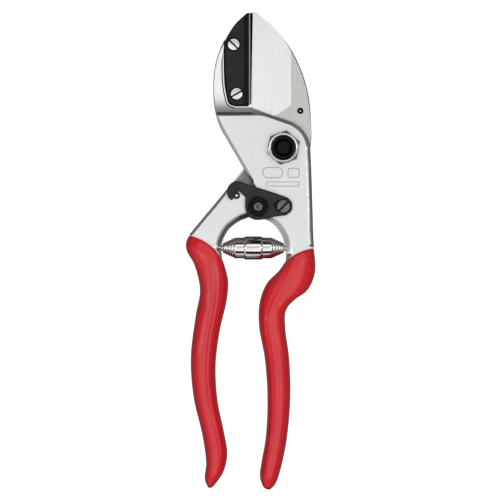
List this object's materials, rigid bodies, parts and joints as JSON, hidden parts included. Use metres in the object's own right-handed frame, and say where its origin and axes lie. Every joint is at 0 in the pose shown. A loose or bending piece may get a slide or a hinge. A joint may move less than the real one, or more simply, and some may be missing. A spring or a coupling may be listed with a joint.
{
  "type": "anvil pruner",
  "caption": "Hand pruner with a straight-edged blade closing on a flat anvil, forged handles with dipped grips, a volute spring and a swinging safety catch.",
  "frame": {"origin": "on the pivot axis, in the plain back face of the pivot bolt's head, on which the tool lies", "axes": "+Y towards the blade's tip, +Z to the nut side, +X to the side of the anvil handle's grip"},
  "size_m": [0.0569, 0.2096, 0.0225],
  "materials": {
    "forged_aluminium": "satin, forged and blasted",
    "blade_steel": "brushed",
    "bright_steel": "bright turned",
    "plated_steel": "plated",
    "spring_chrome": "polished",
    "black_coating": "satin black",
    "red_vinyl": "glossy dipped"
  },
  "bodies": {
    "anvil_side": {"anvil_handle": "forged_aluminium", "anvil_handle_grip": "red_vinyl", "anvil": "black_coating", "anvil_screw_upper": "bright_steel", "anvil_screw_lower": "bright_steel", "pivot_bolt": "bright_steel", "pivot_nut": "plated_steel", "pivot_bush": "plated_steel", "friction_washer": "plated_steel", "catch_screw": "bright_steel", "catch_washer": "plated_steel", "spring_stud_right": "bright_steel", "volute_spring": "spring_chrome"},
    "blade_side": {"blade_handle": "forged_aluminium", "blade_handle_grip": "red_vinyl", "blade": "blade_steel", "blade_screw": "bright_steel", "blade_dowel": "bright_steel", "catch_pin": "bright_steel", "spring_stud_left": "bright_steel"},
    "catch": {"catch_lever": "black_coating", "catch_knob": "black_coating", "catch_knob_rivet": "plated_steel"}
  },
  "joints": [
    {"name": "blade_open", "type": "hinge", "parent": "anvil_side", "child": "blade_side", "pos_m": [0, 0, 0.0088], "axis": [0, 0, -1], "range_deg": [0, 28], "deforming": ["volute_spring"]},
    {"name": "catch_swing", "type": "hinge", "parent": "anvil_side", "child": "catch", "pos_m": [0.0001, -0.0256, 0.0172], "axis": [0, 0, -1], "range_deg": [0, 28]}
  ]
}
